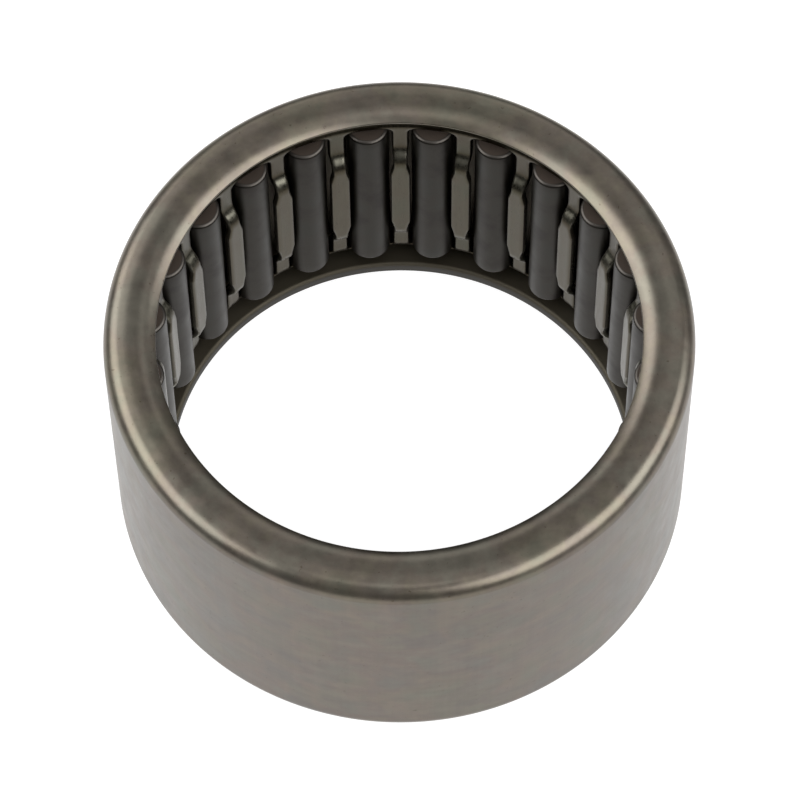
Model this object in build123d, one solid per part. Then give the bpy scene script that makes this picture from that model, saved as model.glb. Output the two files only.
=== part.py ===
from build123d import *
import math
import os

# Drawn-cup needle roller bearing with a full ring of caged needle rollers, in millimetres.
# +Z is the bearing axis, and the origin is the centre of the cup's envelope.
# It lies on the drawn end of its cup (-Z), and the end with the rolled lip is on top (+Z).

# Driving dimensions: an inch-series bearing for a 1 1/2 inch shaft.
INCH = 25.4
SHAFT_DIAMETER = 1.5 * INCH
OUTSIDE_DIAMETER = 1.875 * INCH
WIDTH = 1.0 * INCH
ROLLER_DIAMETER = 9 / 64 * INCH
ROLLER_LENGTH = 19.4
ROLLER_COUNT = 24
FIRST_ROLLER_ANGLE = 6.74  # degrees from +X to the first roller at rest

# Running gaps, all on radius: shaft to roller, and roller to raceway.
SHAFT_GAP = 0.02
RACEWAY_GAP = 0.02

# Drawn cup: one sheet, drawn to shape, with an inturned lip at each end.
INNER_CORNER_RADIUS = 0.5
DRAWN_CORNER_RADIUS = 1.65
DRAWN_LIP_THICKNESS = 1.2
DRAWN_LIP_BORE_RADIUS = 19.44
DRAWN_LIP_OUTSIDE_ROUND = 0.25
DRAWN_LIP_INSIDE_ROUND = 0.35

# The rolled end is crowned: it falls outwards to its corner, and inwards it curls over in one
# arc to the sheet's cut edge, which faces into the bearing.
ROLLED_CORNER_RADIUS = 1.5
CROWN_RADIUS = 21.4
CROWN_WIDTH = 0.45
CROWN_DROP = 0.35
CROWN_ROUND = 4.0
ROLLED_LIP_THICKNESS = 0.9
ROLLED_LIP_CURL_RADIUS = 2.43
ROLLED_LIP_CURL_ANGLE = 38.5
ROLLED_LIP_STRAIGHT = 0.3
ROLLED_LIP_EDGE_ROUND = 0.15

# Cage: one pressed sheet. Its bars stand close to the rollers' pitch circle at their ends and
# step inwards at mid length, where they keep the rollers in. Past the windows the sheet bends
# outwards into a rim, which the raceway guides.
CAGE_SHEET = 0.65
CAGE_END_RADIUS = 20.15
CAGE_MIDDLE_RADIUS = 19.25
CAGE_RIM_RADIUS = 22.4
CAGE_HALF_WIDTH = 10.8
STEP_OUTER_HEIGHT = 6.9
STEP_INNER_HEIGHT = 5.85
STEP_OUTER_BEND_RADIUS = 1.3
STEP_INNER_BEND_RADIUS = 2.2
RIM_BEND_RADIUS = 2.0

# Windows in the cage, one for each roller, narrow at mid length and wider towards the ends.
WINDOW_END_GAP = 0.15
WINDOW_NARROW_HALF_WIDTH = 1.66
WINDOW_WIDE_HALF_WIDTH = 1.91
WINDOW_NARROW_HALF_LENGTH = 3.9
WINDOW_WIDE_FROM = 5.1
WINDOW_CORNER_RADIUS = 0.6
WINDOW_SHOULDER_ROUND = 0.9
WINDOW_THROAT_ROUND = 0.5

ROLLER_EDGE_RADIUS = 0.3

# Worked out from the driving dimensions.
CUP_RADIUS = OUTSIDE_DIAMETER / 2
HALF_WIDTH = WIDTH / 2
ROLLER_RADIUS = ROLLER_DIAMETER / 2
INSCRIBED_RADIUS = SHAFT_DIAMETER / 2 + SHAFT_GAP
PITCH_RADIUS = INSCRIBED_RADIUS + ROLLER_RADIUS
RACEWAY_RADIUS = PITCH_RADIUS + ROLLER_RADIUS + RACEWAY_GAP
ROLLER_PITCH_ANGLE = 360 / ROLLER_COUNT
# The cage and the rollers sit midway between the two lips, whose thicknesses differ.
RING_HEIGHT = (DRAWN_LIP_THICKNESS - ROLLED_LIP_THICKNESS) / 2


def turned(section):
    """Revolves a section, drawn with radius along X and height along Y, about the axis."""
    return revolve(Plane.XZ * section, Axis.Z)


def curled(radius, top):
    """Where one face of the rolled lip starts to curl, and the edge where it ends."""
    angle = math.radians(ROLLED_LIP_CURL_ANGLE)
    reach = radius * math.tan(angle / 2)
    run = reach + ROLLED_LIP_STRAIGHT
    edge_radius = CROWN_RADIUS - reach - run * math.cos(angle)
    edge_height = top - run * math.sin(angle)
    bend = (CROWN_RADIUS - reach, top, radius)
    edge = (edge_radius, edge_height, ROLLED_LIP_EDGE_ROUND)
    return bend, edge


def drawn_cup():
    """The outer ring: raceway, outer seat and both lips, all in one sheet."""
    drawn_lip_inside = DRAWN_LIP_THICKNESS - HALF_WIDTH
    rolled_lip_inside = HALF_WIDTH - ROLLED_LIP_THICKNESS
    outside_bend, outside_edge = curled(ROLLED_LIP_CURL_RADIUS, HALF_WIDTH)
    inside_curl_radius = ROLLED_LIP_CURL_RADIUS - ROLLED_LIP_THICKNESS
    inside_bend, inside_edge = curled(inside_curl_radius, rolled_lip_inside)
    corners = [
        (CUP_RADIUS, -HALF_WIDTH, DRAWN_CORNER_RADIUS),
        (CUP_RADIUS, HALF_WIDTH - CROWN_DROP, ROLLED_CORNER_RADIUS),
        (CROWN_RADIUS + CROWN_WIDTH, HALF_WIDTH, CROWN_ROUND),
        outside_bend,
        outside_edge,
        inside_edge,
        inside_bend,
        (RACEWAY_RADIUS, rolled_lip_inside, INNER_CORNER_RADIUS),
        (RACEWAY_RADIUS, drawn_lip_inside, INNER_CORNER_RADIUS),
        (DRAWN_LIP_BORE_RADIUS, drawn_lip_inside, DRAWN_LIP_INSIDE_ROUND),
        (DRAWN_LIP_BORE_RADIUS, -HALF_WIDTH, DRAWN_LIP_OUTSIDE_ROUND),
    ]
    points = [(radius, height) for radius, height, rounding in corners]
    rounds = [rounding for radius, height, rounding in corners]
    outline = FilletPolyline(*points, radius=rounds, close=True)
    return turned(make_face(outline))


def cage_ring():
    """The cage before its windows are cut: the pressed sheet's section, turned."""
    upper_half = [
        (CAGE_END_RADIUS, CAGE_HALF_WIDTH, RIM_BEND_RADIUS),
        (CAGE_END_RADIUS, STEP_OUTER_HEIGHT, STEP_OUTER_BEND_RADIUS),
        (CAGE_MIDDLE_RADIUS, STEP_INNER_HEIGHT, STEP_INNER_BEND_RADIUS),
    ]
    lower_half = [(radius, -height, bend) for radius, height, bend in reversed(upper_half)]
    bends = upper_half + lower_half
    points = [(CAGE_RIM_RADIUS, CAGE_HALF_WIDTH)]
    points += [(radius, height) for radius, height, bend in bends]
    points += [(CAGE_RIM_RADIUS, -CAGE_HALF_WIDTH)]
    inner_face = FilletPolyline(*points, radius=[bend for radius, height, bend in bends])
    section = make_face(offset(inner_face, CAGE_SHEET, side=Side.LEFT))
    return turned(section)


def window_cutter():
    """One roller window's outline, pushed out through the sheet along +X."""
    end = ROLLER_LENGTH / 2 + WINDOW_END_GAP
    quarter = [
        (WINDOW_NARROW_HALF_WIDTH, WINDOW_NARROW_HALF_LENGTH, WINDOW_SHOULDER_ROUND),
        (WINDOW_WIDE_HALF_WIDTH, WINDOW_WIDE_FROM, WINDOW_THROAT_ROUND),
        (WINDOW_WIDE_HALF_WIDTH, end, WINDOW_CORNER_RADIUS),
    ]
    right = [(x, -y, rounding) for x, y, rounding in reversed(quarter)] + quarter
    left = [(-x, y, rounding) for x, y, rounding in reversed(right)]
    corners = right + left
    outline = FilletPolyline(
        *[(x, y) for x, y, rounding in corners],
        radius=[rounding for x, y, rounding in corners],
        close=True,
    )
    return extrude(Plane.YZ * make_face(outline), CUP_RADIUS)


def roller_cage():
    """The pressed cage with a window for every roller."""
    cutter = window_cutter()
    windows = [Rot(0, 0, roller_angle(index)) * cutter for index in range(ROLLER_COUNT)]
    return Pos(0, 0, RING_HEIGHT) * (cage_ring() - windows)


def roller_angle(index):
    return FIRST_ROLLER_ANGLE + index * ROLLER_PITCH_ANGLE


def needle_roller():
    """A roller standing at the origin, with its two end edges rounded."""
    blank = Cylinder(ROLLER_RADIUS, ROLLER_LENGTH)
    return fillet(blank.edges().filter_by(GeomType.CIRCLE), ROLLER_EDGE_RADIUS)


def placed_roller(index):
    angle = math.radians(roller_angle(index))
    place = Pos(PITCH_RADIUS * math.cos(angle), PITCH_RADIUS * math.sin(angle), RING_HEIGHT)
    return place * needle_roller()


parts = {"drawn_cup": drawn_cup(), "roller_cage": roller_cage()}
for index in range(ROLLER_COUNT):
    parts[f"needle_roller_{index + 1:02d}"] = placed_roller(index)

os.makedirs("parts", exist_ok=True)
for name, part in parts.items():
    part.label = name
    export_step(part, f"parts/{name}.step")
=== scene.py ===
import math
import random

import bmesh
import bpy
import numpy as np
from mathutils import Matrix, Vector


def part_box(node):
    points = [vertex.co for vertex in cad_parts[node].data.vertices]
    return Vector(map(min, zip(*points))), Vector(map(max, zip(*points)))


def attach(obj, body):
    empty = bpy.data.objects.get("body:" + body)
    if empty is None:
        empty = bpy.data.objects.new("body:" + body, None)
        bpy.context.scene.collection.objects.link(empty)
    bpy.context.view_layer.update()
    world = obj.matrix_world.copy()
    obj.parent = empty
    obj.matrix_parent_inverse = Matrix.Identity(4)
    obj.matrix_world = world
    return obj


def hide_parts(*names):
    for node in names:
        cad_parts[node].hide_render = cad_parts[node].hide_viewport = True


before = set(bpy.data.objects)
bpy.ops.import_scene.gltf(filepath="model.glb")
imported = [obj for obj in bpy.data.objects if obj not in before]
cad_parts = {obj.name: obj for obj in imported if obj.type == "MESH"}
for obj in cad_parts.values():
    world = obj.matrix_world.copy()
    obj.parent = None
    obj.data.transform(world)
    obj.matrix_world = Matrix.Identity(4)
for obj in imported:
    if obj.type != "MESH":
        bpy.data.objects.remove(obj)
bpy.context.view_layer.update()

MM = 0.001  # meshes are worked out in millimetres and stored in metres
MICRON = 1e-6
SEED = 7

# Sizes read from the frame, in millimetres.
LOW, HIGH = (np.array(corner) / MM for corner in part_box("drawn_cup"))
CUP_RADIUS = (HIGH[0] - LOW[0]) / 2
HALF_WIDTH = (HIGH[2] - LOW[2]) / 2
CAGE_LOW, CAGE_HIGH = (np.array(corner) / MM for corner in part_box("roller_cage"))
CAGE_RIM_RADIUS = (CAGE_HIGH[0] - CAGE_LOW[0]) / 2
CAGE_HALF_WIDTH = (CAGE_HIGH[2] - CAGE_LOW[2]) / 2
CAGE_HEIGHT = (CAGE_HIGH[2] + CAGE_LOW[2]) / 2
ROLLER_NODES = sorted(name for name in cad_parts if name.startswith("needle_roller_"))
ROLLER_COUNT = len(ROLLER_NODES)
PITCH_ANGLE = math.tau / ROLLER_COUNT

# Drawn cup, in millimetres. Arc steps are in degrees, here and below.
CUP_WALL = 1.1506
RACEWAY_RADIUS = CUP_RADIUS - CUP_WALL
INNER_CORNER_RADIUS = 0.5
DRAWN_CORNER_RADIUS = 1.65
DRAWN_LIP_THICKNESS = 1.2
DRAWN_LIP_BORE_RADIUS = 19.44
DRAWN_LIP_OUTSIDE_ROUND = 0.25
DRAWN_LIP_INSIDE_ROUND = 0.35
ROLLED_CORNER_RADIUS = 1.5
CROWN_RADIUS = 21.25
CROWN_WIDTH = 0.6
CROWN_DROP = 0.35
CROWN_ROUND = 4.0
ROLLED_LIP_THICKNESS = 0.9
ROLLED_LIP_CURL_RADIUS = 2.43
ROLLED_LIP_CURL_ANGLE = math.radians(38.5)
ROLLED_LIP_STRAIGHT = 0.3
ROLLED_LIP_EDGE_ROUND = 0.15
LIP_UNEVENNESS = 0.02
LIP_UNEVEN_WIDTH = 1.5
LIP_WAVE_COUNTS = range(2, 9)  # waves in one turn
CUP_COLUMNS = 480
CUP_ARC_STEP = 5
CUP_RUN_STEP = 2.4

# Cage: heights and radii of the folds in its inner face. Its upper rim bends more sharply.
CAGE_SHEET = 0.65
RIM_DEPTH = 2.25
STEP_DEPTH = 0.9
CAGE_END_RADIUS = CAGE_RIM_RADIUS - RIM_DEPTH
CAGE_MIDDLE_RADIUS = CAGE_END_RADIUS - STEP_DEPTH
STEP_OUTER_HEIGHT = 6.9
STEP_INNER_HEIGHT = 5.85
STEP_OUTER_BEND_RADIUS = 1.3
STEP_INNER_BEND_RADIUS = 2.2
UPPER_RIM_BEND_RADIUS = 0.9
LOWER_RIM_BEND_RADIUS = 2.0
RIM_EDGE_ROUND = 0.07
CAGE_ARC_STEP = 6
CAGE_RUN_STEP = 0.3

# Windows in the cage, and the bars between them.
WINDOW_HALF_LENGTH = 9.85
WINDOW_NARROW_HALF_WIDTH = 1.735
WINDOW_WIDE_HALF_WIDTH = 1.985
WINDOW_NARROW_HALF_LENGTH = 3.9
WINDOW_WIDE_FROM = 5.1
WINDOW_CORNER_RADIUS = 0.6
WINDOW_SHOULDER_ROUND = 0.9
WINDOW_THROAT_ROUND = 0.5
WINDOW_EDGE_ROUND = 0.16
WINDOW_END_COLUMNS = 8
WINDOW_ARC_STEP = 11.25
WINDOW_RUN_STEP = 0.16
BAR_COLUMNS = 5
BAR_DEPTH_SCATTER = 0.03
SCATTER_FADE = 2.0  # height over which the scatter fades out, half of it on each side of the step
TOLERANCE = 1e-6

# Rollers.
ROLLER_EDGE_RADIUS = 0.3
ROLLER_END_DISH = 0.04
ROLLER_FLAT_SHARE = 0.55  # share of the radius where the end's flat ring gives way to its dish
ROLLER_DISH_ROUND = 0.6
ROLLER_COLUMNS = 96
ROLLER_ARC_STEP = 10
ROLLER_RUN_STEP = 0.9

# Camera: in front of the bearing, far away with a long lens. Its elevation is in degrees, its
# roll in radians, its lens in millimetres, and its distance and rise in metres.
CAMERA_ELEVATION = 62.25
CAMERA_DISTANCE = 0.3959
CAMERA_RISE = 0.00015
CAMERA_ROLL = -0.0117
CAMERA_LENS = 216.0

# Light table, in metres from the bearing's axis.
FLOOR_RADIUS = 0.22
FLOOR_COLUMNS = 128
FLOOR_SHADE = 0.3
FLOOR_ROUGHNESS = 0.9
FLOOR_GLOW = 0.95
GLOW_RADIUS = 0.065
GLOW_FADED_RADIUS = 0.115

# Grey of the studio's walls, by height from the horizon (0) to overhead (1).
STUDIO_GREYS = [(0.0, 0.16), (0.25, 0.20), (0.85, 0.24), (1.0, 0.20)]


# ---------------------------------------------------------------- outlines


def corner_arc(before, corner, after, radius, arc_step):
    """Points on the arc that rounds one corner of a path."""
    back = (before - corner) / np.linalg.norm(before - corner)
    on = (after - corner) / np.linalg.norm(after - corner)
    opening = math.acos(np.clip(back @ on, -1, 1))
    turn = math.pi - opening
    reach = radius * math.tan(turn / 2)
    middle = (back + on) / np.linalg.norm(back + on)
    centre = corner + middle * math.hypot(reach, radius)
    spoke = corner + back * reach - centre
    side = math.copysign(1, back[0] * on[1] - back[1] * on[0])
    count = max(2, math.ceil(turn / math.radians(arc_step)) + 1)
    angles = -side * np.linspace(0, turn, count)
    cos, sin = np.cos(angles), np.sin(angles)
    return centre + np.stack([cos * spoke[0] - sin * spoke[1], sin * spoke[0] + cos * spoke[1]], 1)


def rounded_path(corners, arc_step, run_step, closed=False):
    """Points along straight runs with rounded corners, from (x, y, corner radius) rows."""
    corners = [np.array(corner, float) for corner in corners]
    count = len(corners)
    pieces = []
    for index, corner in enumerate(corners):
        if corner[2] == 0 or not closed and index in (0, count - 1):
            pieces.append(corner[None, :2])
            continue
        before = corners[index - 1][:2]
        after = corners[(index + 1) % count][:2]
        pieces.append(corner_arc(before, corner[:2], after, corner[2], arc_step))
    if closed:
        pieces.append(pieces[0][:1])
    points = [pieces[0]]
    for piece in pieces[1:]:
        start = points[-1][-1]
        steps = math.ceil(np.linalg.norm(piece[0] - start) / run_step)
        along = np.linspace(0, 1, steps + 1)[1:-1, None]
        points.append(start + along * (piece[0] - start))
        points.append(piece)
    path = np.concatenate(points)
    return path[:-1] if closed else path


def offset_path(path, distance):
    """The path moved sideways, to the left of its direction, by a distance."""
    along = np.gradient(path, axis=0)
    along /= np.linalg.norm(along, axis=1)[:, None]
    return path + distance * np.stack([-along[:, 1], along[:, 0]], 1)


def edge_arc(rounding):
    """A rounded edge's points: (depth below the face, distance back from the wall)."""
    turns = np.radians([0, 45, 90])
    return [(rounding * (1 - math.cos(turn)), rounding * (1 - math.sin(turn))) for turn in turns]


def round_axis(radius, angles, height):
    """Points about the bearing's axis, from arrays that are as long as each other or single."""
    radius, angles, height = np.broadcast_arrays(radius, angles, height)
    return np.stack([radius * np.cos(angles), radius * np.sin(angles), height], -1)


# ---------------------------------------------------------------- meshes


def turn_faces_outwards(mesh):
    """Makes every face of a closed mesh look outwards."""
    work = bmesh.new()
    work.from_mesh(mesh)
    bmesh.ops.recalc_face_normals(work, faces=work.faces)
    work.to_mesh(mesh)
    work.free()


def make_piece(name, points, faces, node, body, material):
    """A smooth mesh piece, given in millimetres, that stands for a CAD node and rides on its body."""
    mesh = bpy.data.meshes.new(name)
    mesh.from_pydata((np.asarray(points) * MM).tolist(), [], faces)
    mesh.validate()
    turn_faces_outwards(mesh)
    mesh.shade_smooth()
    piece = bpy.data.objects.new(name, mesh)
    bpy.context.scene.collection.objects.link(piece)
    even = piece.modifiers.new("even_normals", "WEIGHTED_NORMAL")
    even.mode = "FACE_AREA_WITH_ANGLE"
    piece.data.materials.append(material)
    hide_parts(node)
    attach(piece, body)
    return piece


def grid_faces(rows, columns, wrap_rows=False):
    """Quads between the rows of a grid, which are closed rings. The last can join the first."""
    down = rows if wrap_rows else rows - 1
    row, column = np.meshgrid(np.arange(down), np.arange(columns), indexing="ij")
    row_on, column_on = (row + 1) % rows, (column + 1) % columns
    corners = [
        row * columns + column,
        row * columns + column_on,
        row_on * columns + column_on,
        row_on * columns + column,
    ]
    return np.stack(corners, -1).reshape(-1, 4).tolist()


# ---------------------------------------------------------------- cup


def waves(angles, rng, size):
    """A smooth random curve round a circle, at most about size from nought."""
    total = np.zeros_like(angles)
    for beats in LIP_WAVE_COUNTS:
        total += rng.uniform(0.3, 1) / beats * np.sin(beats * angles + rng.uniform(0, math.tau))
    return size * total


def curled(radius, top):
    """Where one face of the rolled lip starts to curl, and the edge where it ends."""
    angle = ROLLED_LIP_CURL_ANGLE
    reach = radius * math.tan(angle / 2)
    run = reach + ROLLED_LIP_STRAIGHT
    edge_radius = CROWN_RADIUS - reach - run * math.cos(angle)
    edge_height = top - run * math.sin(angle)
    bend = (CROWN_RADIUS - reach, top, radius)
    edge = (edge_radius, edge_height, ROLLED_LIP_EDGE_ROUND)
    return bend, edge


def cup_section():
    """The drawn cup's section, as a closed line of radius and height."""
    drawn_lip_inside = DRAWN_LIP_THICKNESS - HALF_WIDTH
    rolled_lip_inside = HALF_WIDTH - ROLLED_LIP_THICKNESS
    outside_bend, outside_edge = curled(ROLLED_LIP_CURL_RADIUS, HALF_WIDTH)
    inside_curl_radius = ROLLED_LIP_CURL_RADIUS - ROLLED_LIP_THICKNESS
    inside_bend, inside_edge = curled(inside_curl_radius, rolled_lip_inside)
    corners = [
        (CUP_RADIUS, -HALF_WIDTH, DRAWN_CORNER_RADIUS),
        (CUP_RADIUS, HALF_WIDTH - CROWN_DROP, ROLLED_CORNER_RADIUS),
        (CROWN_RADIUS + CROWN_WIDTH, HALF_WIDTH, CROWN_ROUND),
        outside_bend,
        outside_edge,
        inside_edge,
        inside_bend,
        (RACEWAY_RADIUS, rolled_lip_inside, INNER_CORNER_RADIUS),
        (RACEWAY_RADIUS, drawn_lip_inside, INNER_CORNER_RADIUS),
        (DRAWN_LIP_BORE_RADIUS, drawn_lip_inside, DRAWN_LIP_INSIDE_ROUND),
        (DRAWN_LIP_BORE_RADIUS, -HALF_WIDTH, DRAWN_LIP_OUTSIDE_ROUND),
    ]
    return rounded_path(corners, CUP_ARC_STEP, CUP_RUN_STEP, closed=True)


def build_cup(material):
    """The drawn cup, turned from its sheet section, with a slightly uneven rolled lip."""
    profile = cup_section()
    rng = random.Random(SEED)
    angles = np.arange(CUP_COLUMNS) * math.tau / CUP_COLUMNS
    radius, height = (values[:, None] for values in profile.T)
    lip = np.clip((CROWN_RADIUS - radius) / LIP_UNEVEN_WIDTH, 0, 1) * (height > 0)
    radius = radius + lip * waves(angles, rng, LIP_UNEVENNESS)
    height = height - lip * np.abs(waves(angles, rng, LIP_UNEVENNESS))
    points = round_axis(radius, angles, height).reshape(-1, 3)
    faces = grid_faces(len(profile), CUP_COLUMNS, wrap_rows=True)
    return make_piece("cup_visual", points, faces, "drawn_cup", "cup", material)


# ---------------------------------------------------------------- cage


class Sheet:
    """Points and faces of a mesh that is put together row by row."""

    def __init__(self):
        self.points = []
        self.faces = []

    def row(self, points):
        """Adds points, and returns their numbers."""
        start = len(self.points)
        self.points.extend(points.tolist())
        return np.arange(start, len(self.points))

    def places(self, numbers):
        """The x, y and height of some points."""
        return np.array([self.points[number] for number in numbers]).T

    def join(self, one, two):
        """Adds quads between two rows with equally many points."""
        self.faces.extend(np.stack([one[:-1], two[:-1], two[1:], one[1:]], 1).tolist())

    def join_rings(self, rings):
        """Adds quads between each closed ring and the next."""
        for one, two in zip(rings, rings[1:]):
            self.join(np.append(one, one[0]), np.append(two, two[0]))


# The first and the last of the rings down a window's wall lie in the sheet's inner and outer face.
INNER, OUTER = 0, -1


def cage_section():
    """The cage's inner face line and the outer one, each from the lower rim to the upper one."""
    step = [
        (CAGE_MIDDLE_RADIUS, STEP_INNER_HEIGHT, STEP_INNER_BEND_RADIUS),
        (CAGE_END_RADIUS, STEP_OUTER_HEIGHT, STEP_OUTER_BEND_RADIUS),
    ]
    rim = (CAGE_RIM_RADIUS, CAGE_HALF_WIDTH, 0)
    upper_half = step + [(CAGE_END_RADIUS, CAGE_HALF_WIDTH, UPPER_RIM_BEND_RADIUS), rim]
    lower_half = step + [(CAGE_END_RADIUS, CAGE_HALF_WIDTH, LOWER_RIM_BEND_RADIUS), rim]
    lower_half = [(radius, -height, bend) for radius, height, bend in reversed(lower_half)]
    inner = rounded_path(lower_half + upper_half, CAGE_ARC_STEP, CAGE_RUN_STEP)
    return inner, offset_path(inner, -CAGE_SHEET)


def window_side():
    """The right side of a window's outline, from its bottom end to its top end."""
    upper_half = [
        (WINDOW_NARROW_HALF_WIDTH, WINDOW_NARROW_HALF_LENGTH, WINDOW_SHOULDER_ROUND),
        (WINDOW_WIDE_HALF_WIDTH, WINDOW_WIDE_FROM, WINDOW_THROAT_ROUND),
        (WINDOW_WIDE_HALF_WIDTH, WINDOW_HALF_LENGTH, WINDOW_CORNER_RADIUS),
        (0, WINDOW_HALF_LENGTH, 0),
    ]
    lower_half = [(x, -y, rounding) for x, y, rounding in reversed(upper_half)]
    path = rounded_path(lower_half + upper_half, WINDOW_ARC_STEP, WINDOW_RUN_STEP)
    end_half_width = WINDOW_WIDE_HALF_WIDTH - WINDOW_CORNER_RADIUS
    return path[path[:, 0] > end_half_width - TOLERANCE]


def window_outline(side):
    """A window's outline, counter-clockwise from its bottom right, and its outward directions."""
    sideways = offset_path(side, -1) - side
    end_half_width = side[-1, 0]
    end_x = np.linspace(end_half_width, -end_half_width, WINDOW_END_COLUMNS + 1)[1:-1]
    end = np.stack([end_x, np.full_like(end_x, WINDOW_HALF_LENGTH)], 1)
    endways = np.repeat([[0.0, 1.0]], len(end_x), 0)
    outline = np.concatenate([side, end, side[::-1] * (-1, 1), end[::-1] * (1, -1)])
    outward = np.concatenate([sideways, endways, sideways[::-1] * (-1, 1), -endways])
    return outline, outward


def window_parts(ring, rows):
    """Splits a window's ring into its right side, top end, left side and bottom end.

    A side has as many points as rows says, both of its corners among them.
    """
    end = WINDOW_END_COLUMNS - 1
    return np.split(ring, [rows, rows + end, 2 * rows + end])


def add_window(sheet, outline, outward, angle, section):
    """A window's wall, as rings from the sheet's inner face to its outer one, with rounded edges."""
    near = edge_arc(WINDOW_EDGE_ROUND)
    levels = near + [(CAGE_SHEET - depth, out) for depth, out in reversed(near)]
    rings = []
    for depth, out in levels:
        across, height = (outline + outward * out).T
        inner, outer = (np.interp(height, line[:, 1], line[:, 0]) for line in section)
        radius = inner + (outer - inner) * depth / CAGE_SHEET
        rings.append(sheet.row(round_axis(radius, angle + np.arcsin(across / radius), height)))
    sheet.join_rings(rings)
    return rings


def add_bar_face(sheet, start, stop):
    """One face of a bar, as columns of points from one window's side to the next window's."""
    x, y, height = sheet.places(start)
    stop_x, stop_y = sheet.places(stop)[:2]
    start_angle = np.arctan2(y, x)
    step = (np.arctan2(stop_y, stop_x) - start_angle) % math.tau
    columns = [start]
    for column in range(1, BAR_COLUMNS):
        angles = start_angle + step * column / BAR_COLUMNS
        columns.append(sheet.row(round_axis(np.hypot(x, y), angles, height)))
    columns.append(stop)
    for one, two in zip(columns, columns[1:]):
        sheet.join(one, two)
    return columns


def end_border(windows, bars, face, rows, end):
    """The points of one face that its end ring starts from, in a closed ring about the axis.

    The end is 1 for the upper one and -1 for the lower one.
    """
    border = []
    for window, bar in zip(windows, bars):
        top, left, bottom = window_parts(window[face], rows)[1:]
        if end > 0:
            border.extend([left[0], *top[::-1]])
            border.extend(column[-1] for column in bar[face][:-1])
        else:
            border.extend([left[-1], *bottom])
            border.extend(column[0] for column in bar[face][:-1])
    return np.array(border)


def rim_path(section, end):
    """An end ring's line: along the inner face to the rim's edge, round it, and back outside."""
    from_height = WINDOW_HALF_LENGTH + WINDOW_EDGE_ROUND + RIM_EDGE_ROUND / 2
    inner, outer = (line[line[:, 1] * end > from_height][::end] for line in section)
    inner_height, outer_height = inner[-1, 1], outer[-1, 1]
    inwards = np.sign(outer_height - inner_height)
    near = [
        (CAGE_RIM_RADIUS - out, inner_height + inwards * depth)
        for depth, out in edge_arc(RIM_EDGE_ROUND)
    ]
    far = [(radius, inner_height + outer_height - height) for radius, height in reversed(near)]
    return np.concatenate([inner[:-1], near, far, outer[:-1][::-1]])


def add_end_ring(sheet, windows, bars, section, rows, end):
    """The ring beyond the windows at one end, bent outwards into a rim."""
    inner_border = end_border(windows, bars, INNER, rows, end)
    outer_border = end_border(windows, bars, OUTER, rows, end)
    x, y = sheet.places(inner_border)[:2]
    angles = np.arctan2(y, x)
    rings = [inner_border]
    for radius, height in rim_path(section, end):
        rings.append(sheet.row(round_axis(radius, angles, height)))
    rings.append(outer_border)
    sheet.join_rings(rings)


def uneven_bars(points, first_angle):
    """Moves the middle of each bar in or out a little, as pressed bars differ."""
    rng = random.Random(SEED)
    depths = [rng.uniform(-BAR_DEPTH_SCATTER, BAR_DEPTH_SCATTER) for bar in range(ROLLER_COUNT)]
    x, y, height = points.T
    turn = (np.arctan2(y, x) - first_angle) % math.tau
    bar = np.floor(turn / PITCH_ANGLE).astype(int) % ROLLER_COUNT
    fade = np.clip((STEP_OUTER_HEIGHT - np.abs(height)) / SCATTER_FADE + 0.5, 0, 1)
    scale = 1 + fade * np.array(depths)[bar] / np.hypot(x, y)
    return np.stack([x * scale, y * scale, height], 1)


def build_cage(first_angle, material):
    """The pressed cage as one closed sheet: window walls, bars and end rings."""
    sheet = Sheet()
    section = cage_section()
    side = window_side()
    rows = len(side)
    outline, outward = window_outline(side)
    windows = []
    for index in range(ROLLER_COUNT):
        angle = first_angle + index * PITCH_ANGLE
        windows.append(add_window(sheet, outline, outward, angle, section))
    # A bar runs from the right side of one window, at larger angles, to the left side of the next.
    bars = []
    for before, after in zip(windows, windows[1:] + windows[:1]):
        bar = {}
        for face in (INNER, OUTER):
            start = window_parts(before[face], rows)[0]
            stop = window_parts(after[face], rows)[2][::-1]
            bar[face] = add_bar_face(sheet, start, stop)
        bars.append(bar)
    for end in (-1, 1):
        add_end_ring(sheet, windows, bars, section, rows, end)
    points = uneven_bars(np.array(sheet.points), first_angle)
    points[:, 2] += CAGE_HEIGHT
    return make_piece("cage_visual", points, sheet.faces, "roller_cage", "cage", material)


# ---------------------------------------------------------------- rollers


def build_roller(node, material):
    """A needle roller: ground side, rounded edges and slightly dished ends."""
    low, high = (np.array(corner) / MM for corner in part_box(node))
    centre = (low + high) / 2
    radius = (high[0] - low[0]) / 2
    half = (high[2] - low[2]) / 2
    upper = [
        (radius, half, ROLLER_EDGE_RADIUS),
        (radius * ROLLER_FLAT_SHARE, half, ROLLER_DISH_ROUND),
        (0, half - ROLLER_END_DISH, 0),
    ]
    lower = [(x, -z, rounding) for x, z, rounding in reversed(upper)]
    profile = rounded_path(lower + upper, ROLLER_ARC_STEP, ROLLER_RUN_STEP)[1:-1]
    angles = np.arange(ROLLER_COLUMNS) * math.tau / ROLLER_COLUMNS
    rings = round_axis(profile[:, :1], angles, profile[:, 1:]).reshape(-1, 3)
    poles = [[0, 0, -half + ROLLER_END_DISH], [0, 0, half - ROLLER_END_DISH]]
    points = np.concatenate([rings, poles]) + centre
    faces = grid_faces(len(profile), ROLLER_COLUMNS)
    bottom_pole, top_pole = len(points) - 2, len(points) - 1
    last = (len(profile) - 1) * ROLLER_COLUMNS
    for column in range(ROLLER_COLUMNS):
        on = (column + 1) % ROLLER_COLUMNS
        faces.append([on, column, bottom_pole])
        faces.append([last + column, last + on, top_pole])
    number = node.rsplit("_", 1)[1]
    return make_piece(f"roller_{number}_visual", points, faces, node, f"roller_{number}", material)


# ---------------------------------------------------------------- shader nodes


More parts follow.
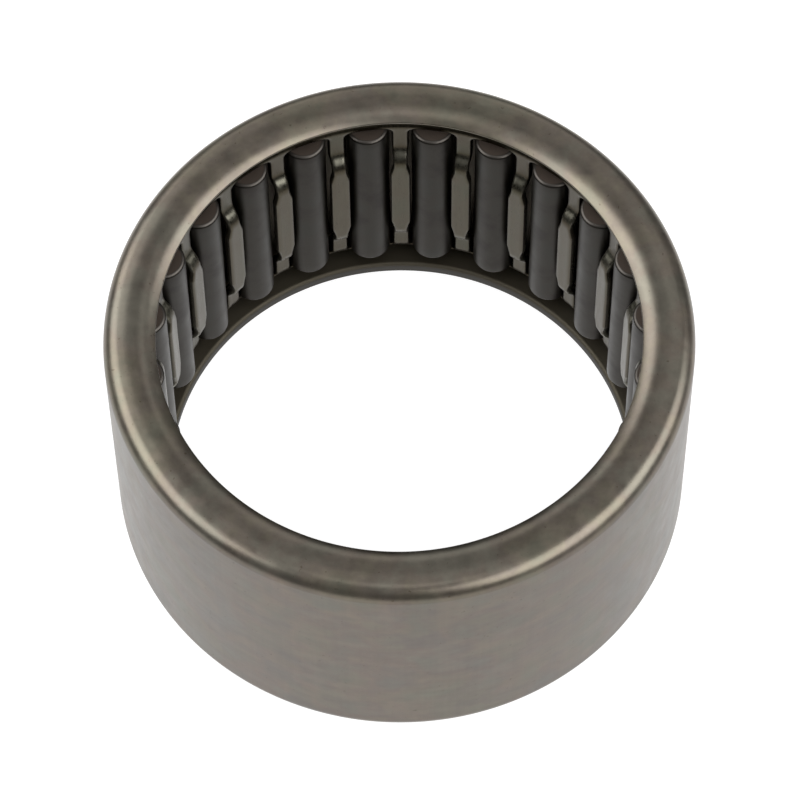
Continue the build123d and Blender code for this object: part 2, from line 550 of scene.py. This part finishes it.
def add(tree, kind, inputs=None, **settings):
    """A new shader node, with its settings and its inputs set or linked."""
    node = tree.nodes.new(kind)
    for key, value in settings.items():
        setattr(node, key, value)
    for key, value in (inputs or {}).items():
        if isinstance(value, bpy.types.NodeSocket):
            tree.links.new(value, node.inputs[key])
        else:
            node.inputs[key].default_value = value
    return node


def math_node(tree, operation, first, second=0.0):
    return add(tree, "ShaderNodeMath", {0: first, 1: second}, operation=operation).outputs[0]


def noise(tree, vector, scale, detail=2.0, roughness=0.5):
    """Noise from 0 to 1, with scale in features per millimetre."""
    inputs = {"Vector": vector, "Scale": scale, "Detail": detail, "Roughness": roughness}
    return add(tree, "ShaderNodeTexNoise", inputs).outputs[0]


def ramp(tree, value, *stops):
    """A colour ramp through (position, colour) stops."""
    node = add(tree, "ShaderNodeValToRGB", {0: value})
    elements = node.color_ramp.elements
    for position, colour in stops[1:-1]:
        elements.new(position)
    for element, (position, colour) in zip(elements, stops):
        element.position = position
        element.color = (*colour, 1)
    return node.outputs[0]


def spread(tree, value, low, high, to_low, to_high):
    """Maps a value's range onto another, and clamps it."""
    inputs = {"Value": value, "From Min": low, "From Max": high, "To Min": to_low, "To Max": to_high}
    return add(tree, "ShaderNodeMapRange", inputs).outputs[0]


def rising(tree, value, low, high):
    return spread(tree, value, low, high, 0.0, 1.0)


def falling(tree, value, low, high):
    return spread(tree, value, low, high, 1.0, 0.0)


def between(tree, amount, first, second):
    """A number part of the way from one value to another."""
    return add(tree, "ShaderNodeMix", {0: amount, 2: first, 3: second}).outputs[0]


def mixed(tree, amount, first, second, blend="MIX"):
    """Two colours mixed."""
    node = add(tree, "ShaderNodeMix", {0: amount, 6: first, 7: second}, data_type="RGBA", blend_type=blend)
    return node.outputs[2]


def tinted(tree, colour, tint):
    return mixed(tree, 1.0, colour, tint, "MULTIPLY")


def grey_ramp(tree, value, *stops):
    """A ramp through (position, grey) stops."""
    return ramp(tree, value, *[(position, (grey, grey, grey)) for position, grey in stops])


def shaded(tree, colour, value, *stops):
    """A colour made darker or lighter by a value, through (position, brightness) stops."""
    return tinted(tree, colour, grey_ramp(tree, value, *stops))


def bump(tree, height, microns, below=None):
    """A surface raised by a height from 0 to 1, on top of another one where it is given."""
    inputs = {"Height": height, "Distance": microns * MICRON, "Strength": 1.0}
    if below is not None:
        inputs["Normal"] = below
    return add(tree, "ShaderNodeBump", inputs).outputs[0]


def stretched(tree, vector, x, y, z):
    return add(tree, "ShaderNodeVectorMath", {0: vector, 1: (x, y, z)}, operation="MULTIPLY").outputs[0]


def from_axis(tree, split):
    """Distance from the Z axis, from a node with x, y and z outputs."""
    flat = add(tree, "ShaderNodeCombineXYZ", {0: split.outputs[0], 1: split.outputs[1]}).outputs[0]
    return add(tree, "ShaderNodeVectorMath", {0: flat}, operation="LENGTH").outputs["Value"]


def steel(name):
    """A metal material, its shader, and its place in millimetres."""
    material = bpy.data.materials.new(name)
    material.use_nodes = True
    tree = material.node_tree
    shader = tree.nodes["Principled BSDF"]
    shader.inputs["Metallic"].default_value = 1.0
    place = add(tree, "ShaderNodeTexCoord").outputs["Object"]
    place = add(tree, "ShaderNodeVectorMath", {0: place, "Scale": 1 / MM}, operation="SCALE").outputs[0]
    return material, tree, shader, place


def radius_and_height(tree, place):
    split = add(tree, "ShaderNodeSeparateXYZ", {0: place})
    return from_axis(tree, split), split.outputs[2]


def turned_lines(tree, radius, height, place, wander=0.15):
    """Coordinates for fine lines round the axis, which wander a little."""
    drift = math_node(tree, "MULTIPLY", noise(tree, place, 0.12), wander)
    radius = math_node(tree, "ADD", radius, drift)
    height = math_node(tree, "ADD", height, drift)
    return add(tree, "ShaderNodeCombineXYZ", {0: radius, 1: height}).outputs[0]


# ---------------------------------------------------------------- steels

# Colours, as (noise value, colour) stops or as one colour.
CUP_HEAT_TINT = [
    (0.36, (0.209, 0.206, 0.179)),
    (0.45, (0.223, 0.205, 0.178)),
    (0.52, (0.210, 0.188, 0.173)),
    (0.60, (0.216, 0.208, 0.189)),
]
CUP_SPECKS = [(0.69, (1.0, 1.0, 1.0)), (0.75, (0.70, 0.68, 0.64))]
CUP_WALL_TINT = [
    (0.38, (0.595, 0.574, 0.515)),
    (0.49, (0.645, 0.573, 0.520)),
    (0.60, (0.580, 0.555, 0.520)),
]
ROLLED_END_TINT = (1.04, 1.0, 0.90, 1)
# Lighter, browner colour inside the raceway: painted light that lifts the shade between rollers and bars.
INSIDE_PAINTED_LIGHT = (0.185, 0.165, 0.125, 1)
# Dark colour at the drawn lip's bore edge: painted shade for the shadowed floor that it reflects.
DRAWN_LIP_EDGE_PAINTED_SHADE = (0.070, 0.066, 0.060, 1)
CAGE_TINT = [
    (0.32, (0.068, 0.0630, 0.0430)),
    (0.5, (0.073, 0.0625, 0.0430)),
    (0.68, (0.067, 0.0550, 0.0375)),
]
# Lighter colour on the step slopes: a painted highlight for the side lights that they reflect.
STEP_PAINTED_HIGHLIGHT = (0.26, 0.25, 0.20, 1)
ROLLER_TINT = [
    (0.35, (0.021, 0.019, 0.0145)),
    (0.5, (0.0255, 0.0215, 0.0165)),
    (0.65, (0.0215, 0.0172, 0.0142)),
]
DULL_ROLLER_END = (0.15, 0.12, 0.10, 1)
# Lighter colour on the rollers' rounded edges: a painted highlight for the bright arcs where the ends meet
# the sides.
ROLLER_EDGE_PAINTED_HIGHLIGHT = (0.11, 0.10, 0.09, 1)

# Heights and radii between which the cup's looks change, in millimetres.
WALL_TO_ROLLED_END = (HALF_WIDTH - 1.5, HALF_WIDTH - 0.7)
INSIDE_TO_ROLLED_LIP = (HALF_WIDTH - 1.6, HALF_WIDTH - 1.3)
INSIDE_TO_WALL = (RACEWAY_RADIUS - 0.05, RACEWAY_RADIUS + 0.05)
END_TO_WALL_MARKS = (CUP_RADIUS - 0.7, CUP_RADIUS - 0.1)
EDGE_TO_DRAWN_LIP = (0.9 - HALF_WIDTH, 1.15 - HALF_WIDTH)
EDGE_TO_DRAWN_FACE = (DRAWN_LIP_BORE_RADIUS + 0.16, DRAWN_LIP_BORE_RADIUS + 0.46)

# Radii between which the cage's step starts and stops getting a painted highlight.
STEP_HIGHLIGHT_STARTS = (CAGE_MIDDLE_RADIUS + 0.12, CAGE_MIDDLE_RADIUS + 0.3)
STEP_HIGHLIGHT_STOPS = (CAGE_END_RADIUS - 0.2, CAGE_END_RADIUS - 0.05)

# Shares of a roller's length from its middle, and of its diameter from its axis, between which
# its ends and its rounded edges begin.
ROLLER_END_BEGINS = (0.489, 0.494)
ROLLER_EDGE_BEGINS = (0.41, 0.45)


def cup_colour(tree, place, radius, height, clouds, draw_marks, inside):
    """Heat-tinted steel, darker on the wall, lighter inside as painted light in the shade between the
    rollers, and darker at the drawn lip's edge as painted shade.
    """
    patches = noise(tree, stretched(tree, place, 1.0, 1.0, 1.4), 0.17, detail=6, roughness=0.62)
    colour = ramp(tree, patches, *CUP_HEAT_TINT)
    colour = shaded(tree, colour, clouds, (0.36, 0.90), (0.64, 1.08))
    colour = shaded(tree, colour, draw_marks, (0.35, 0.97), (0.65, 1.025))
    smears = noise(tree, stretched(tree, place, 0.25, 0.25, 1.1), 1.0, detail=4, roughness=0.6)
    colour = shaded(tree, colour, smears, (0.38, 0.95), (0.62, 1.04))
    specks = noise(tree, place, 2.6, detail=2, roughness=0.5)
    colour = tinted(tree, colour, ramp(tree, specks, *CUP_SPECKS))
    wall_patches = noise(tree, place, 0.2, detail=3, roughness=0.5)
    wall_colour = tinted(tree, colour, ramp(tree, wall_patches, *CUP_WALL_TINT))
    end_colour = tinted(tree, colour, ROLLED_END_TINT)
    colour = mixed(tree, rising(tree, height, *WALL_TO_ROLLED_END), wall_colour, end_colour)
    # Painted light: the inside gets a lighter colour to lift its shade.
    colour = mixed(tree, inside, colour, INSIDE_PAINTED_LIGHT)
    # Painted shade at the drawn lip's edge.
    at_lip = falling(tree, height, *EDGE_TO_DRAWN_LIP)
    painted_shade_at_edge = math_node(tree, "MULTIPLY", at_lip, falling(tree, radius, *EDGE_TO_DRAWN_FACE))
    return mixed(tree, painted_shade_at_edge, colour, DRAWN_LIP_EDGE_PAINTED_SHADE)


def cup_steel():
    """Satin drawn steel with a faint heat tint, draw marks down its wall and turned marks on its lip."""
    material, tree, shader, place = steel("satin_drawn_steel")
    radius, height = radius_and_height(tree, place)
    clouds = noise(tree, place, 0.55, detail=6, roughness=0.6)
    draw_marks = noise(tree, stretched(tree, place, 2.2, 2.2, 0.06), 1.0, detail=4, roughness=0.6)
    within = falling(tree, radius, *INSIDE_TO_WALL)
    inside = math_node(tree, "MULTIPLY", within, falling(tree, height, *INSIDE_TO_ROLLED_LIP))
    colour = cup_colour(tree, place, radius, height, clouds, draw_marks, inside)
    tree.links.new(colour, shader.inputs["Base Color"])
    rough = spread(tree, clouds, 0.3, 0.7, 0.30, 0.38)
    tree.links.new(between(tree, inside, rough, 0.6), shader.inputs["Roughness"])

    turned_marks = noise(tree, turned_lines(tree, radius, height, place), 5.0, detail=4, roughness=0.7)
    faint_draw_marks = math_node(tree, "MULTIPLY", draw_marks, 0.4)
    on_wall = rising(tree, radius, *END_TO_WALL_MARKS)
    surface = bump(tree, clouds, microns=6)
    marks = between(tree, on_wall, turned_marks, faint_draw_marks)
    surface = bump(tree, marks, microns=1.5, below=surface)
    grain = noise(tree, place, 9.0, detail=3, roughness=0.6)
    surface = bump(tree, grain, microns=0.5, below=surface)
    tree.links.new(surface, shader.inputs["Normal"])
    return material


def cage_steel():
    """Warm pressed sheet steel with rolling marks, and a lighter colour where its bars step inwards as a
    painted highlight.
    """
    material, tree, shader, place = steel("pressed_sheet_steel")
    radius, height = radius_and_height(tree, place)
    patches = noise(tree, place, 0.3, detail=4, roughness=0.55)
    from_middle = math_node(tree, "ABSOLUTE", math_node(tree, "SUBTRACT", height, CAGE_HEIGHT))
    colour = ramp(tree, patches, *CAGE_TINT)
    past_step = rising(tree, from_middle, STEP_INNER_HEIGHT, STEP_OUTER_HEIGHT)
    colour = shaded(tree, colour, past_step, (0.0, 1.0), (1.0, 0.92))
    # Painted highlight on the step between the bars' middle and their ends.
    above_bars = rising(tree, radius, *STEP_HIGHLIGHT_STARTS)
    step_highlight = math_node(tree, "MULTIPLY", above_bars, falling(tree, radius, *STEP_HIGHLIGHT_STOPS))
    colour = mixed(tree, step_highlight, colour, STEP_PAINTED_HIGHLIGHT)
    marks = noise(tree, stretched(tree, place, 5.0, 5.0, 0.5), 1.0, detail=3, roughness=0.6)
    colour = shaded(tree, colour, marks, (0.35, 0.9), (0.65, 1.08))
    tree.links.new(colour, shader.inputs["Base Color"])
    tree.links.new(spread(tree, marks, 0.3, 0.7, 0.26, 0.36), shader.inputs["Roughness"])
    surface = bump(tree, patches, microns=12)
    surface = bump(tree, marks, microns=1.5, below=surface)
    tree.links.new(surface, shader.inputs["Normal"])
    return material


def roller_steel():
    """Dark ground steel with fine grinding lines, a painted highlight on its rounded edges and dull ends.
    """
    material, tree, shader, place = steel("dark_ground_steel")
    patches = noise(tree, place, 0.35, detail=4, roughness=0.6)
    share = add(tree, "ShaderNodeTexCoord").outputs["Generated"]
    share = add(tree, "ShaderNodeVectorMath", {0: share, 1: (0.5, 0.5, 0.5)}, operation="SUBTRACT")
    share = add(tree, "ShaderNodeSeparateXYZ", {0: share.outputs[0]})
    along = math_node(tree, "ABSOLUTE", share.outputs[2])
    near_end = rising(tree, along, *ROLLER_END_BEGINS)
    near_side = rising(tree, from_axis(tree, share), *ROLLER_EDGE_BEGINS)
    # Painted highlight on the rounded edge ring at each end.
    edge_highlight = math_node(tree, "MULTIPLY", near_end, near_side)
    dull = math_node(tree, "SUBTRACT", near_end, edge_highlight)
    colour = mixed(tree, dull, ramp(tree, patches, *ROLLER_TINT), DULL_ROLLER_END)
    colour = mixed(tree, edge_highlight, colour, ROLLER_EDGE_PAINTED_HIGHLIGHT)
    tree.links.new(colour, shader.inputs["Base Color"])
    rough = spread(tree, patches, 0.3, 0.7, 0.36, 0.46)
    tree.links.new(between(tree, dull, rough, 0.8), shader.inputs["Roughness"])
    grinding_lines = noise(tree, stretched(tree, place, 0.4, 0.4, 12.0), 1.0, detail=4, roughness=0.65)
    surface = bump(tree, patches, microns=5)
    surface = bump(tree, grinding_lines, microns=0.5, below=surface)
    tree.links.new(surface, shader.inputs["Normal"])
    return material


# ---------------------------------------------------------------- stage


def direction(azimuth, elevation):
    """Unit vector towards a place in the studio: azimuth from +X towards +Y, in degrees."""
    azimuth, elevation = math.radians(azimuth), math.radians(elevation)
    flat = math.cos(elevation)
    return Vector((flat * math.cos(azimuth), flat * math.sin(azimuth), math.sin(elevation)))


def soft_box(name, azimuth, elevation, distance, width, height, radiance):
    """A rectangular soft light that faces the bearing."""
    light = bpy.data.lights.new(name, "AREA")
    light.shape = "RECTANGLE"
    light.size, light.size_y = width, height
    light.energy = radiance * math.pi * width * height
    box = bpy.data.objects.new(name, light)
    away = direction(azimuth, elevation)
    box.location = away * distance
    box.rotation_euler = away.to_track_quat("Z", "Y").to_euler()
    bpy.context.scene.collection.objects.link(box)


def studio_world():
    """Dim studio walls, darkest at the horizon."""
    world = bpy.data.worlds.new("studio")
    world.use_nodes = True
    tree = world.node_tree
    background = tree.nodes["Background"]
    place = add(tree, "ShaderNodeTexCoord").outputs["Generated"]
    height = add(tree, "ShaderNodeSeparateXYZ", {0: place}).outputs[2]
    glow = grey_ramp(tree, height, *STUDIO_GREYS)
    tree.links.new(glow, background.inputs["Color"])
    bpy.context.scene.world = world


def floor_material():
    """Matt white, with a glow that fades outwards."""
    material = bpy.data.materials.new("floor_white")
    material.use_nodes = True
    tree = material.node_tree
    shader = tree.nodes["Principled BSDF"]
    shader.inputs["Base Color"].default_value = (FLOOR_SHADE, FLOOR_SHADE, FLOOR_SHADE, 1)
    shader.inputs["Roughness"].default_value = FLOOR_ROUGHNESS
    shader.inputs["Specular IOR Level"].default_value = 0.0
    shader.inputs["Emission Color"].default_value = (1, 1, 1, 1)
    place = add(tree, "ShaderNodeTexCoord").outputs["Object"]
    outwards = add(tree, "ShaderNodeVectorMath", {0: place}, operation="LENGTH").outputs["Value"]
    glow = spread(tree, outwards, GLOW_RADIUS, GLOW_FADED_RADIUS, FLOOR_GLOW, 0.0)
    tree.links.new(glow, shader.inputs["Emission Strength"])
    return material


def pale_floor():
    """A round pale table top, a little luminous, as a light table is."""
    angles = np.arange(FLOOR_COLUMNS) * math.tau / FLOOR_COLUMNS
    floor_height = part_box("drawn_cup")[0][2]
    rim = round_axis(FLOOR_RADIUS, angles, floor_height)
    mesh = bpy.data.meshes.new("floor")
    mesh.from_pydata(rim.tolist(), [], [list(range(FLOOR_COLUMNS))])
    mesh.materials.append(floor_material())
    floor = bpy.data.objects.new("floor", mesh)
    bpy.context.scene.collection.objects.link(floor)


def front_camera():
    """The camera in front of the bearing, high up, with a long lens."""
    back = direction(-90, CAMERA_ELEVATION)
    right = Vector((1, 0, 0))
    up = back.cross(right)
    camera_data = bpy.data.cameras.new("camera")
    camera_data.lens = CAMERA_LENS
    camera_data.clip_start = 0.01
    camera = bpy.data.objects.new("camera", camera_data)
    turn = Matrix((right, up, back)).transposed().to_4x4() @ Matrix.Rotation(CAMERA_ROLL, 4, "Z")
    camera.matrix_world = Matrix.Translation(back * CAMERA_DISTANCE + up * CAMERA_RISE) @ turn
    bpy.context.scene.collection.objects.link(camera)
    bpy.context.scene.camera = camera


def studio():
    """World, floor, camera and soft lights, whose sizes are in metres."""
    studio_world()
    pale_floor()
    soft_box("left_box", 171, 38, distance=0.55, width=0.85, height=0.42, radiance=2.5)
    soft_box("right_box", -25, 35, distance=0.55, width=0.88, height=0.42, radiance=2.5)
    soft_box("front_box", -90, 73, distance=0.65, width=0.34, height=0.22, radiance=0.55)
    soft_box("top_box", -90, 87, distance=0.70, width=0.38, height=0.38, radiance=0.40)
    soft_box("rear_box", 90, 27, distance=0.60, width=0.50, height=0.28, radiance=0.58)
    soft_box("rear_right_box", 57, 54, distance=0.60, width=0.22, height=0.18, radiance=0.65)
    front_camera()
    bpy.context.scene.view_settings.view_transform = "Standard"


def build():
    """Every visible piece of the bearing."""
    low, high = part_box(ROLLER_NODES[0])
    first_angle = math.atan2(low[1] + high[1], low[0] + high[0])
    build_cup(cup_steel())
    build_cage(first_angle, cage_steel())
    roller_material = roller_steel()
    for node in ROLLER_NODES:
        build_roller(node, roller_material)


studio()
build()
